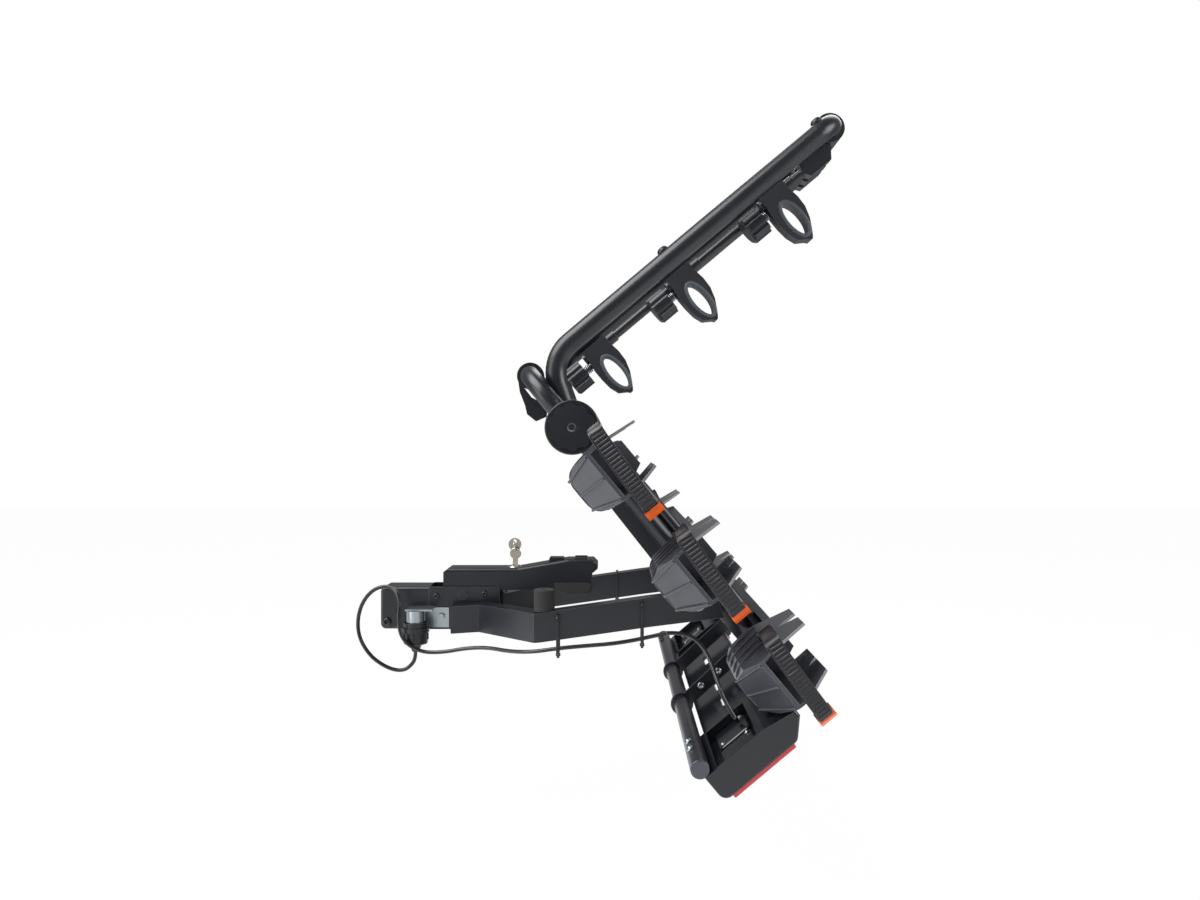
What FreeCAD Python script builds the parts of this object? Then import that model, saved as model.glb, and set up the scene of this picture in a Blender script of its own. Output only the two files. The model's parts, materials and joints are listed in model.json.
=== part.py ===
"""Towball bike rack for three bikes, in millimetres.

Origin: the centre of the towball. +X points rearward, +Y to the far side and
+Z up. The platform is modelled in its own level frame (U rearward, Y, W up)
whose origin is the hinge of the hoop, and is then placed tilted down.
"""
import FreeCAD, Part
import math
import os

V = FreeCAD.Vector
RUN_FIT = 0.05          # radial play of a pin that turns in its hole
SIDE_GAP = 0.6          # play between the faces of pieces that move

# Coupling
BALL_BORE_R = 25.25     # the 50 mm ball and its play
BODY_HALF_W = 32.0
BODY_FRONT = -45.0
BODY_REAR = 178.0
BODY_BOTTOM = -14.0
BODY_TOP = 65.0
BODY_WALL = 4.0
SOCKET_WALL = 20.7      # from the bore to the open channel
LEVER_PIVOT = (110.0, 50.0)
LEVER_PIN_R = 6.0
LEVER_REAR = 362.0
LEVER_FRONT = 72.0
LEVER_TOP = 116.0

LEVER_FLAT = 99.4       # height of the lever's flat top, ahead of its rise
LOCK_PLACE = (205.0, -10.0)
LOCK_R = 9.0
LOCK_DEEP = 22.0
KEY_BOW_R = 12.0
BUTTON_X = (270.0, 298.0)
BUTTON_HALF_W = 14.0

# Arms that carry the platform
ARM_HEIGHT = 50.0
ARM_WIDTH = 30.0
ARM_WALL = 2.5
ARM_SIDE = [(90.0, 8.0), (262.0, 19.0), (452.0, 46.0), (572.0, 61.0)]
ARM_SPREAD = 180.0      # middle of an arm at the platform's pivot
ARM_FLARE = (150.0, 262.0)
AXLE_R = 8.0
BUMP_R = 18.0
BUMP_HEIGHT = 38.0
BUMP_X = 272.0

# Platform
TILT = 50.0
HOOP_HINGE = (319.0, 362.0)
DECK_TUBE_R = 17.5
DECK_WALL = 2.0
DECK_HALF_W = 140.0
DECK_FRONT = -125.0
DECK_REAR = 512.0
DECK_BEND_R = 70.0
LATCH_Y = -56.0
RAIL_R = 10.0
RAIL_SINK = 0.6         # how far a welded piece reaches into a tube's wall
PIVOT_UW = (369.7, -28.0)
ROWS = (95.0, 285.0, 475.0)
CHANNEL_W = 44.0
CHANNEL_H = 13.0
CHANNEL_WALL = 2.0
CUP_INNER = 300.0       # where the cups start, out from the middle
CUP_LENGTH = 200.0
CUP_WALL = 4.0
CUP_BOTTOM = -48.0
CUP_TIPS = (81.0, 63.0)
CUP_BOW = 62.0          # length over which the floor rises to the cradle's outer end
STRAP_WIDTH = 24.0
STRAP_THICK = 3.0
STRAP_LOW = 8.0
STRAP_OUT = 525.0
STRAP_HALF_SPAN = 70.0
BUCKLE_LENGTH = 34.0
BUCKLE_THICK = 13.0

# Light board
BOARD_TUBE_R = 14.0
BOARD_UW = (501.0, -167.0)
BOARD_HALF_W = 475.0
BRACKET_Y = 120.0
BRACKET_THICK = 5.0
LAMP_INNER = 300.0
LAMP_TALL = 160.0
LAMP_DEEP = 45.0
LAMP_CORNER_R = 14.0
LAMP_END_R = 5.0
PLATE_THICK = 6.0

# Hoop and its bike-holding arms
HOOP_R = 19.25
HOOP_WALL = 2.0
HOOP_HALF_W = 102.0
HOOP_BEND = (-121.0, 45.0)
HOOP_TOP = 717.0
HOOP_BEND_R = 70.0
HOOP_CORNER_R = 40.0
KNOB_R = 41.0
KNOB_THICK = 22.0
HUB_R = 48.0
PIN_R = 8.0
KNOB_PIN_R = 6.0
HOLDER_Y = (44.0, 0.0, -44.0)
HOLDER_CLAW_W = (130.0, 338.0, 560.0)
ROD_R = 9.0
ROD_U = -91.0
CLAW_THICK = 36.0
CLAW_BACK = -104.0
CLAW_TIP = 15.0
CLAW_HALF_W = 30.0
CLAW_PLAY = 0.06
JAW_LONG = 42.0         # half the length of the oval between the jaws
JAW_SHORT = 20.0
JAW_CENTRE = -34.0
GRIP_R = 28.0
GRIP_TALL = 38.0
GRIP_BOLT_R = 5.0

# Cables
CABLE_R = 3.5
PLUG_R = 22.0


def box(x0, x1, y0, y1, z0, z1):
    """A block between two corners, in any order."""
    lo = V(min(x0, x1), min(y0, y1), min(z0, z1))
    hi = V(max(x0, x1), max(y0, y1), max(z0, z1))
    return Part.makeBox(hi.x - lo.x, hi.y - lo.y, hi.z - lo.z, lo)


def rod_y(x, z, radius, y0, y1):
    """A cylinder along Y, from the smaller to the larger of two places."""
    low, high = min(y0, y1), max(y0, y1)
    return Part.makeCylinder(radius, high - low, V(x, low, z), V(0, 1, 0))


def rod_z(x, y, radius, z0, z1):
    """A cylinder along Z."""
    return Part.makeCylinder(radius, z1 - z0, V(x, y, z0), V(0, 0, 1))


def rod_x(y, z, radius, x0, x1):
    """A cylinder along X."""
    return Part.makeCylinder(radius, x1 - x0, V(x0, y, z), V(1, 0, 0))


def side_prism(outline, y0, y1):
    """An outline in X and Z, given its thickness along Y."""
    low, high = min(y0, y1), max(y0, y1)
    wire = Part.makePolygon([V(x, low, z) for x, z in outline + outline[:1]])
    return Part.Face(wire).extrude(V(0, high - low, 0))


def plan_prism(outline, z0, z1):
    """An outline in X and Y, given its height along Z."""
    wire = Part.makePolygon([V(x, y, z0) for x, y in outline + outline[:1]])
    return Part.Face(wire).extrude(V(0, 0, z1 - z0))


def end_prism(outline, x0, x1):
    """An outline in Y and Z, given its length along X."""
    wire = Part.makePolygon([V(x0, y, z) for y, z in outline + outline[:1]])
    return Part.Face(wire).extrude(V(x1 - x0, 0, 0))


def band(points, half):
    """The outline of a strip of even width, mitred at each point of its middle line."""
    sides = {1: [], -1: []}
    for i, (x, y) in enumerate(points):
        turns = []
        for a, b in ((i - 1, i), (i, i + 1)):
            if a >= 0 and b < len(points):
                dx, dy = points[b][0] - points[a][0], points[b][1] - points[a][1]
                length = math.hypot(dx, dy)
                turns.append((-dy / length, dx / length))
        nx = sum(n[0] for n in turns) / len(turns)
        ny = sum(n[1] for n in turns) / len(turns)
        reach = half / (nx * nx + ny * ny)
        for side in sides:
            sides[side].append((x + side * nx * reach, y + side * ny * reach))
    return sides[1] + sides[-1][::-1]


def soft(shape, radius, pick):
    """Rounds the straight edges that a test picks."""
    edges = [e for e in shape.Edges if pick(e)]
    return shape.makeFillet(radius, edges) if edges else shape


def along(edge, axis):
    """Whether an edge runs straight along an axis."""
    if not isinstance(edge.Curve, Part.Line):
        return False
    return abs(abs(edge.tangentAt(edge.FirstParameter).dot(axis)) - 1) < 1e-6


def bent_path(points, radii):
    """Straight runs through the points, joined by tangent arcs of the given radii."""
    edges, last = [], V(*points[0])
    length = 0.0
    for i in range(1, len(points) - 1):
        a, p, b = V(*points[i - 1]), V(*points[i]), V(*points[i + 1])
        d0, d1 = (a - p).normalize(), (b - p).normalize()
        turn = math.pi - d0.getAngle(d1)
        trim = radii[i - 1] * math.tan(turn / 2)
        start, end = p + d0 * trim, p + d1 * trim
        middle = (d0 + d1).normalize()
        mid = p + middle * (radii[i - 1] * (1 / math.cos(turn / 2) - 1))
        edges.append(Part.LineSegment(last, start).toShape())
        edges.append(Part.Arc(start, mid, end).toShape())
        length += (start - last).Length + radii[i - 1] * turn
        last = end
    edges.append(Part.LineSegment(last, V(*points[-1])).toShape())
    length += (V(*points[-1]) - last).Length
    return Part.Wire(edges), length


def sweep(points, radii, radius):
    """A round bar along a bent path, and the path's length."""
    path, length = bent_path(points, radii)
    first = V(*points[1]) - V(*points[0])
    ring = Part.Wire([Part.makeCircle(radius, V(*points[0]), first)])
    return path.makePipeShell([ring], True, False), length


def both(side_of):
    """The near and the far copy of a piece, from a function of the side's sign."""
    return {"near": side_of(-1), "far": side_of(1)}


def tidy_join(first, *others):
    """One solid from pieces that are welded or moulded together."""
    return first.fuse(list(others)).removeSplitter()


def pivot_xz():
    """The platform's tilt axis in X and Z, from its place in the tilted platform."""
    a = math.radians(TILT)
    u, w = PIVOT_UW
    return (HOOP_HINGE[0] + u * math.cos(a) + w * math.sin(a),
            HOOP_HINGE[1] - u * math.sin(a) + w * math.cos(a))


# ---- what stays on the car ----

def coupling_body():
    """The block that sits on the towball: a blind socket in front, a floor behind."""
    channel = BALL_BORE_R + SOCKET_WALL
    body = box(BODY_FRONT, channel, -BODY_HALF_W, BODY_HALF_W, BODY_BOTTOM, BODY_TOP)
    body = soft(body, 10, lambda e: along(e, V(0, 1, 0)) and e.CenterOfMass.x < 0)
    body = soft(body, 6, lambda e: along(e, V(0, 0, 1)) and e.CenterOfMass.x < 0)
    inner = BODY_HALF_W - BODY_WALL
    floor = box(channel, BODY_REAR, -inner, inner, BODY_BOTTOM, BODY_BOTTOM + BODY_WALL)
    body = tidy_join(body, floor)
    dome = -BODY_BOTTOM
    body = body.cut(rod_z(0, 0, BALL_BORE_R, BODY_BOTTOM - 1, dome))
    return body.cut(Part.makeSphere(BALL_BORE_R, V(0, 0, dome)))


def coupling_cheeks():
    """The two side plates behind the block, joined by the lever's riveted pin."""
    x, z = LEVER_PIVOT
    channel = BALL_BORE_R + SOCKET_WALL
    inner = BODY_HALF_W - BODY_WALL
    plates = [box(channel, BODY_REAR, s * inner, s * BODY_HALF_W, BODY_BOTTOM, BODY_TOP)
              for s in (-1, 1)]
    pin = rod_y(x, z, LEVER_PIN_R, -BODY_HALF_W, BODY_HALF_W)
    head = LEVER_PIN_R + 3
    heads = [rod_y(x, z, head, s * BODY_HALF_W, s * (BODY_HALF_W + 3)) for s in (-1, 1)]
    return tidy_join(pin, *plates, *heads)


def arm(side):
    """A box-section arm: its outline from the side crossed with its outline from above."""
    inner_y = BODY_HALF_W + ARM_WIDTH / 2
    start, end = ARM_SIDE[0][0], ARM_SIDE[-1][0]
    plan = [(start, inner_y), (ARM_FLARE[0], inner_y),
            (ARM_FLARE[1], ARM_SPREAD), (end + 30, ARM_SPREAD)]
    last, before = ARM_SIDE[-1], ARM_SIDE[-2]
    slope = (last[1] - before[1]) / (last[0] - before[0])
    rise = ARM_SIDE[:-1] + [(end + 30, last[1] + slope * 30)]

    def tube(width, height):
        above = [(x, side * y) for x, y in band(plan, width / 2)]
        solid = plan_prism(above, -60, 140)
        return solid.common(side_prism(band(rise, height / 2), -260, 260))

    wall = 2 * ARM_WALL
    shape = tube(ARM_WIDTH, ARM_HEIGHT).cut(tube(ARM_WIDTH - wall, ARM_HEIGHT - wall))
    lean = ARM_HEIGHT * 0.34
    low, high = last[1] - ARM_HEIGHT, last[1] + ARM_HEIGHT
    beyond = [(end + lean, low), (end + 90, low), (end + 90, high), (end - lean, high)]
    shape = shape.cut(side_prism(beyond, -260, 260))
    x, z = pivot_xz()
    return shape.cut(rod_y(x, z, AXLE_R, -260, 260))


def tilt_axle():
    """The shaft across both arms on which the platform tilts."""
    x, z = pivot_xz()
    end = ARM_SPREAD + ARM_WIDTH / 2
    shaft = rod_y(x, z, AXLE_R, -end, end)
    nuts = [rod_y(x, z, AXLE_R + 4, s * end, s * (end + 6)) for s in (-1, 1)]
    return tidy_join(shaft, *nuts)


def arm_top(x):
    """Height of an arm's upper face at a place along it."""
    for (x0, z0), (x1, z1) in zip(ARM_SIDE, ARM_SIDE[1:]):
        if x <= x1:
            rise = (z1 - z0) / (x1 - x0)
            return z0 + rise * (x - x0) + ARM_HEIGHT / 2 * math.hypot(1, rise)
    raise ValueError(x)


def bump_stop(side, arm_shape):
    """A rubber stop that stands on an arm and follows its upper face."""
    y = side * ARM_SPREAD
    base = arm_top(BUMP_X)
    stop = rod_z(BUMP_X, y, BUMP_R, base - BUMP_HEIGHT / 2, base + BUMP_HEIGHT)
    stop = soft(stop, 3, lambda e: e.CenterOfMass.z > base + BUMP_HEIGHT - 0.1)
    stop = stop.cut(rod_z(BUMP_X, y, 4, base + BUMP_HEIGHT - 10, base + BUMP_HEIGHT + 1))
    below = [(x, arm_top(x)) for x in (BUMP_X - 3 * BUMP_R, BUMP_X + 3 * BUMP_R)]
    below += [(x, z - 2 * ARM_HEIGHT) for x, z in reversed(below)]
    stop = stop.cut(side_prism(below, y - 2 * BUMP_R, y + 2 * BUMP_R))
    return stop.cut(arm_shape)


def plug_bracket():
    """A bent zinc plate on the body's near side that parks the lighting plug."""
    y = -BODY_HALF_W
    foot = box(38, 84, y, y - 3, -10, 27)
    flap = box(10, 60, y, y - 44, 27, 30)
    web = box(38, 60, y, y - 3, 20, 30)
    bolt = rod_y(70, 10, 6, y - 3, y - 9)
    ring_y = y - 34
    park = rod_z(28, ring_y, PLUG_R - 5, 6, 27)
    return tidy_join(foot, flap, web, bolt, park)


def trailer_plug():
    """The lighting plug, hung under its parking place, with its ribbed sleeve."""
    y = -BODY_HALF_W - 34
    shell = rod_z(28, y, PLUG_R, -34, 5.7)
    shell = soft(shell, 3, lambda e: e.CenterOfMass.z < -33)
    shell = shell.cut(rod_z(28, y, PLUG_R - 3, 0, 6))
    collar = rod_z(28, y, PLUG_R + 3, -12, -4)
    keys = []
    for i in range(12):
        a = math.radians(30 * i)
        keys.append(rod_z(28 + PLUG_R * math.cos(a), y + PLUG_R * math.sin(a), 2, -26, -14))
    boot = Part.makeCone(12, CABLE_R + 3, 14, V(28, y, -34), V(0, 0, -1))
    boot = boot.cut(rod_z(28, y, CABLE_R, -49, -42))
    return tidy_join(shell, collar, boot, *keys)


def coupling_lever():
    """The long handle over the coupling, with its hub on the pin and its lower grip."""
    x, z = LEVER_PIVOT
    half = BODY_HALF_W - BODY_WALL - SIDE_GAP
    outline = [(LEVER_FRONT, 62), (LEVER_FRONT, 92), (82, LEVER_FLAT), (212, LEVER_FLAT),
               (306, LEVER_TOP), (LEVER_REAR - 8, LEVER_TOP), (LEVER_REAR, LEVER_TOP - 8),
               (LEVER_REAR, 98), (352, 90), (350, 72), (278, 72), (262, 60), (124, 56), (96, 56)]
    handle = side_prism(outline, -half, half)
    handle = soft(handle, 7, lambda e: e.CenterOfMass.z > 97 and abs(e.CenterOfMass.y) > half - 1
                  and not along(e, V(0, 1, 0)))
    hollow = [(150, 50), (150, 84), (262, 92), (262, 50)]
    handle = handle.cut(side_prism(hollow, -half + 5, half - 5))
    hub = rod_y(x, z, 15, -20, 20)
    neck = box(x - 12, x + 12, -20, 20, z, 62)
    lever = tidy_join(handle, hub, neck)
    lever = lever.cut(rod_y(x, z, LEVER_PIN_R + RUN_FIT, -half - 1, half + 1))
    lever = lever.cut(box(*button_room(), 90, LEVER_TOP + 1))
    bx, by = LOCK_PLACE
    return lever.cut(rod_z(bx, by, LOCK_R + RUN_FIT, LEVER_FLAT - LOCK_DEEP, LEVER_TOP))


def button_room():
    """The pocket of the release button, in X and Y."""
    return (BUTTON_X[0] - SIDE_GAP, BUTTON_X[1] + SIDE_GAP,
            -BUTTON_HALF_W - SIDE_GAP, BUTTON_HALF_W + SIDE_GAP)


def lever_grip():
    """The softer lower grip under the rear of the lever."""
    half = BODY_HALF_W - BODY_WALL - SIDE_GAP
    outline = [(279, 72), (350, 72), (353, 66), (350, 54), (342, 49), (300, 49), (284, 58)]
    grip = side_prism(outline, -half, half)
    return soft(grip, 5, lambda e: e.CenterOfMass.z < 71 and abs(e.CenterOfMass.y) > half - 1
                and not along(e, V(0, 1, 0)))


def release_button():
    """The button in the lever's top, which sinks to free it."""
    button = box(*BUTTON_X, -BUTTON_HALF_W, BUTTON_HALF_W, 94.5, 118)
    return soft(button, 3, lambda e: e.CenterOfMass.z > 117)


def lock_key():
    """The lock's upright barrel with its key: the blade and the round bow above it."""
    x, y = LOCK_PLACE
    top = LEVER_FLAT + 4
    barrel = rod_z(x, y, LOCK_R, LEVER_FLAT - LOCK_DEEP + SIDE_GAP, top)
    bow_z = top + 27 + KEY_BOW_R
    blade = box(x - 4, x + 4, y - 1.2, y + 1.2, top - 2, bow_z - KEY_BOW_R + 2)
    bow = rod_y(x, bow_z, KEY_BOW_R, y - 1.2, y + 1.2)
    bow = bow.cut(rod_y(x, bow_z + 6, 3.5, y - 2, y + 2))
    return tidy_join(barrel, blade, bow)


def loop_cable():
    """The lighting cable: from the plug, round its loop and along the near arm."""
    y = -BODY_HALF_W - 34
    points = [(28, y, -42), (28, y, -56), (24, y - 2, -70), (6, y - 4, -84), (-24, y - 4, -78),
              (-58, y - 3, -54), (-80, y, -14), (-76, y + 3, 34), (-50, y + 4, 68),
              (-14, y + 2, 72), (4, y - 6, 50), (6, y - 12, 12), (12, y - 18, -22),
              (40, y - 24, -44), (82, y - 30, -44), (126, y - 40, -34), (168, y - 62, -28),
              (210, y - 96, -28), (252, y - 128, -22), (296, y - 136, -14), (344, y - 134, -10),
              (392, y - 136, -6), (440, y - 134, 2), (480, y - 137, 12)]
    return cord(points, "loop_cable")


def board_cable():
    """The cable that hangs from the near arm to the near lamp."""
    y = -BODY_HALF_W - 34
    points = [(480, y - 137, 12), (510, y - 140, 14), (536, y - 146, 0), (552, y - 164, -26),
              (562, y - 194, -58), (569, y - 234, -80), (582, y - 276, -96)]
    return cord(points, "board_cable")


def cord(points, name):
    """A cable along hand-picked points, each bend as large as its two runs allow."""
    radii = []
    for a, p, b in zip(points, points[1:], points[2:]):
        d0, d1 = V(*a) - V(*p), V(*b) - V(*p)
        turn = math.pi - d0.getAngle(d1)
        radii.append(0.45 * min(d0.Length, d1.Length) / math.tan(turn / 2))
    tube, length = sweep(points, radii, CABLE_R)
    share = tube.Volume / (math.pi * CABLE_R ** 2 * length)
    print(f"{name}: length {length:.1f}, volume over section times length {share:.5f}")
    print(f"{name} radii:", ", ".join(f"{r:.0f}" for r in radii))
    return tube


# ---- the platform, in its own level frame ----

def deck_loop(radius):
    """The closed round-cornered loop of tube, as a solid bar of a given radius."""
    half, bend = DECK_HALF_W, DECK_BEND_R
    middle = (DECK_FRONT + DECK_REAR) / 2
    runs = []
    for side in (-1, 1):
        points = [(middle, side * half, 0), (DECK_FRONT, side * half, 0), (DECK_FRONT, 0, 0)]
        runs.append(sweep(points, [bend], radius)[0])
        points = [(middle, side * half, 0), (DECK_REAR, side * half, 0), (DECK_REAR, 0, 0)]
        runs.append(sweep(points, [bend], radius)[0])
    return runs[0].fuse(runs[1:]).removeSplitter()


def deck_frame():
    """The loop, its two upper rails, the hinge bosses and the plates of the tilt axle."""
    outer = deck_loop(DECK_TUBE_R)
    hollow = deck_loop(DECK_TUBE_R - DECK_WALL)
    frame = outer.cut(hollow)
    rail_w = DECK_TUBE_R + RAIL_R - RAIL_SINK
    welded = []
    for side in (-1, 1):
        y = side * DECK_HALF_W
        welded.append(rod_x(y, rail_w, RAIL_R, 24, 486).cut(outer))
        plate = [(140, 0), (402, 0), (388, -45), (352, -45), (150, -39)]
        welded.append(side_prism(plate, y - 4, y + 4).cut(outer))
        boss = rod_y(0, 0, DECK_TUBE_R - DECK_WALL / 2, y - DECK_TUBE_R, y + DECK_TUBE_R)
        welded.append(boss.common(outer))
    frame = tidy_join(frame, *welded)
    for side in (-1, 1):
        y = side * DECK_HALF_W
        u, w = PIVOT_UW
        frame = frame.cut(rod_y(u, w, AXLE_R + RUN_FIT, y - 30, y + 30))
        inner, mid, outer_y = (side * v for v in pin_stations())
        frame = frame.cut(rod_y(0, 0, PIN_R + RUN_FIT, inner, mid))
        frame = frame.cut(rod_y(0, 0, KNOB_PIN_R + RUN_FIT, mid, outer_y))
    drain = Part.makeCylinder(3, 2 * DECK_TUBE_R, V(DECK_FRONT, 0, -2 * DECK_TUBE_R))
    return frame.cut(drain)


def pin_stations():
    """Where the holes of the hoop's pin and of the knob's bolt start and end, from the middle."""
    return (DECK_HALF_W - DECK_TUBE_R - 1, DECK_HALF_W - 6, DECK_HALF_W + DECK_TUBE_R + 1)


def hub_faces():
    """The inner and outer faces of the hinge housing, from the middle."""
    inner = DECK_HALF_W + DECK_TUBE_R - 6
    return inner, inner + 14


def hinge_housing(side):
    """The round housing over the hoop's hinge, saddled on the deck tube."""
    inner, outer = hub_faces()
    disc = rod_y(0, 0, HUB_R, side * inner, side * outer)
    disc = soft(disc, 3, lambda e: abs(abs(e.CenterOfMass.y) - outer) < 0.1)
    disc = disc.cut(deck_loop(DECK_TUBE_R))
    rail_w = DECK_TUBE_R + RAIL_R - RAIL_SINK
    disc = disc.cut(rod_x(side * DECK_HALF_W, rail_w, RAIL_R, -HUB_R, HUB_R + 1))
    disc = disc.cut(rod_y(0, 0, KNOB_PIN_R + RUN_FIT, side * (inner - 1), side * (outer + 1)))
    return disc


def tray_channel(row):
    """The folded channel that carries one bike's two wheel cups."""
    u = ROWS[row]
    low = DECK_TUBE_R + 2 * RAIL_R - RAIL_SINK
    half, wall = CHANNEL_W / 2, CHANNEL_WALL
    outline = [(-half, low), (half, low), (half, low + CHANNEL_H), (half - wall, low + CHANNEL_H),
               (half - wall, low + wall), (wall - half, low + wall),
               (wall - half, low + CHANNEL_H), (-half, low + CHANNEL_H)]
    return side_prism([(u + x, z) for x, z in outline], -CUP_INNER, CUP_INNER)


def wheel_cup(row, side):
    """A moulded cradle for a tyre: a deep trough whose two wings are cut to points."""
    u = ROWS[row]
    front, rear = CUP_TIPS
    outer = [(-28, CUP_BOTTOM), (28, CUP_BOTTOM), (40, -30), (44, 20), (36, rear),
             (36 - CUP_WALL, rear), (44 - CUP_WALL, 18), (40 - CUP_WALL, -18), (6, -34),
             (-6, -34), (CUP_WALL - 40, -18), (CUP_WALL - 44, 18), (CUP_WALL - 36, front),
             (-36, front), (-44, 20), (-40, -30)]
    y0, y1 = CUP_INNER, CUP_INNER + CUP_LENGTH
    cup = side_prism([(u + x, z) for x, z in outer], side * y0, side * y1)
    rim = [(y0, 8), (y0 + 12, 22), (y0 + 44, front + 1), (y0 + 84, front + 1),
           (y0 + 100, 48), (y0 + 116, front + 1), (y0 + 160, front + 1), (y1 - 8, 24),
           (y1, 4), (y1, CUP_BOTTOM + 44), (y1 - CUP_BOW, CUP_BOTTOM),
           (y0 + 16, CUP_BOTTOM - 1), (y0, CUP_BOTTOM + 14)]
    cup = cup.common(end_prism([(side * y, z) for y, z in rim], u - 60, u + 60))
    wall_top = DECK_TUBE_R + 2 * RAIL_R - RAIL_SINK + CHANNEL_H
    wall = [(-40, -26), (40, -26), (42, 8), (CHANNEL_W / 2 + 2, wall_top),
            (-CHANNEL_W / 2 - 2, wall_top), (-42, 8)]
    head = side_prism([(u + x, z) for x, z in wall], side * y0, side * (y0 + 5))
    slope = [(y1 - CUP_BOW, CUP_BOTTOM), (y1, CUP_BOTTOM + 44), (y1, CUP_BOTTOM + 50),
             (y1 - CUP_BOW - 4, CUP_BOTTOM + 6)]
    bow = end_prism([(side * y, z) for y, z in slope], u - 60, u + 60)
    inside = [(-28, CUP_BOTTOM), (28, CUP_BOTTOM), (40, -30), (43, 10), (-43, 10), (-40, -30)]
    bow = bow.common(side_prism([(u + x, z) for x, z in inside], side * y0, side * y1))
    return tidy_join(cup, head, bow)


def strap_outline(row, side):
    """The middle line of a strap from above: from the cup, round its outboard end and back."""
    u, span, out = ROWS[row] + 4, STRAP_HALF_SPAN, STRAP_OUT
    hold = 44 + STRAP_THICK / 2
    line = [(-4 - hold, out - 138), (-4 - hold, out - 104), (-span, out - 76), (-span, out - 14),
            (14 - span, out), (span - 14, out), (span, out - 14), (span, out - 76),
            (hold - 4, out - 104), (hold - 4, out - 138)]
    return [(u + x, side * y) for x, y in line]


def strap(row, side):
    """A ratchet strap, standing on edge round the cup's outboard end."""
    ribbon = band(strap_outline(row, side), STRAP_THICK / 2)
    ribbon = plan_prism(ribbon, STRAP_LOW, STRAP_LOW + STRAP_WIDTH)
    u = ROWS[row]
    return ribbon.cut(box(u - 44, u + 44, 0, side * (STRAP_OUT - 90), -20, 60))


def buckle_place(row, side):
    """The hinge of a buckle in U and Y, on the outer face of the strap."""
    u = ROWS[row] + 4 + STRAP_HALF_SPAN + STRAP_THICK / 2 + 0.4
    return u, side * (STRAP_OUT - 70)


def buckle(row, side):
    """The lever of a strap's ratchet, with the rounded eye that it turns on."""
    u, y = buckle_place(row, side)
    low, high = STRAP_LOW - 2, STRAP_LOW + STRAP_WIDTH + 2
    r = BUCKLE_THICK / 2
    eye = rod_z(u + r, y, r, low, high)
    plan = [(u + 0.2, y), (u + BUCKLE_THICK, y),
            (u + BUCKLE_THICK, y + side * (BUCKLE_LENGTH - 8)),
            (u + BUCKLE_THICK - 6, y + side * BUCKLE_LENGTH), (u + 0.2, y + side * BUCKLE_LENGTH)]
    return tidy_join(eye, plan_prism(plan, low, high))


# ---- light board ----

def board_bracket(side):
    """A flat bar from the deck's rear bend down to the light board's tube."""
    u, w = BOARD_UW
    bar = [(u - 20, 0), (u + 6, 0), (u + 12, w + 6), (u - 12, w + 6)]
    y0, y1 = side * BRACKET_Y, side * (BRACKET_Y + BRACKET_THICK)
    ring = rod_y(u, w, BOARD_TUBE_R + 6, y0, y1)
    bracket = tidy_join(side_prism(bar, y0, y1), ring)
    bracket = bracket.cut(rod_y(u, w, BOARD_TUBE_R, y0 - 1, y0 + 99).fuse(
        rod_y(u, w, BOARD_TUBE_R, y0 - 99, y0 + 1)))
    bracket = bracket.cut(deck_loop(DECK_TUBE_R))
    return max(bracket.Solids, key=lambda s: s.Volume)


def board_tube():
    """The transverse tube of the light board, plugged at both ends, with a drain hole."""
    u, w = BOARD_UW
    tube = rod_y(u, w, BOARD_TUBE_R, -BOARD_HALF_W, BOARD_HALF_W)
    tube = soft(tube, 2, lambda e: abs(abs(e.CenterOfMass.y) - BOARD_HALF_W) < 0.1)
    core = rod_y(u, w, BOARD_TUBE_R - 2, -BOARD_HALF_W + 6, BOARD_HALF_W - 6)
    drain = Part.makeCylinder(2, 30, V(u, 0, w - 30))
    return tube.cut(core).cut(drain)


def lamp_profile():
    """The side outline of a lamp housing, behind the board's tube."""
    u, w = BOARD_UW
    back = u + BOARD_TUBE_R
    top = w + LAMP_TALL - 1
    return [(back, w - 3), (back + LAMP_DEEP, w - 3), (back + LAMP_DEEP, top - 26),
            (back + 19, top), (back + 9, top), (back, w + 107)]


def lamp(side):
    """A lamp housing, open at its front, where its wiring is."""
    y0, y1 = side * LAMP_INNER, side * BOARD_HALF_W
    u, w = BOARD_UW
    back = u + BOARD_TUBE_R
    body = side_prism(lamp_profile(), y0, y1)
    rear = back + LAMP_DEEP - 0.1
    for radius, low, high in ((LAMP_CORNER_R, w - 4, w), (LAMP_CORNER_R, w + LAMP_TALL - 30,
                                                          w + LAMP_TALL - 20)):
        body = soft(body, radius, lambda e: along(e, V(0, 1, 0)) and e.CenterOfMass.x > rear
                    and low < e.CenterOfMass.z < high)
    body = soft(body, LAMP_END_R, lambda e: abs(e.CenterOfMass.y - y1) < 0.1
                and e.CenterOfMass.x > back + 5)
    y2, y3 = side * (LAMP_INNER + 6), side * (BOARD_HALF_W - 6)
    body = body.cut(box(back - 1, back + 20, y2, y3, w + 20, w + 96))
    return body


def lens(side):
    """The red lens on a lamp's rear face."""
    u, w = BOARD_UW
    back = u + BOARD_TUBE_R + LAMP_DEEP
    y0, y1 = side * (LAMP_INNER + 4), side * (BOARD_HALF_W - LAMP_END_R - 1)
    low = w - 3 + LAMP_CORNER_R + 1
    high = w + LAMP_TALL - 27 - LAMP_CORNER_R / 2
    glass = box(back, back + 7, y0, y1, low, high)
    return soft(glass, 3, lambda e: e.CenterOfMass.x > back + 6.9)


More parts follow.
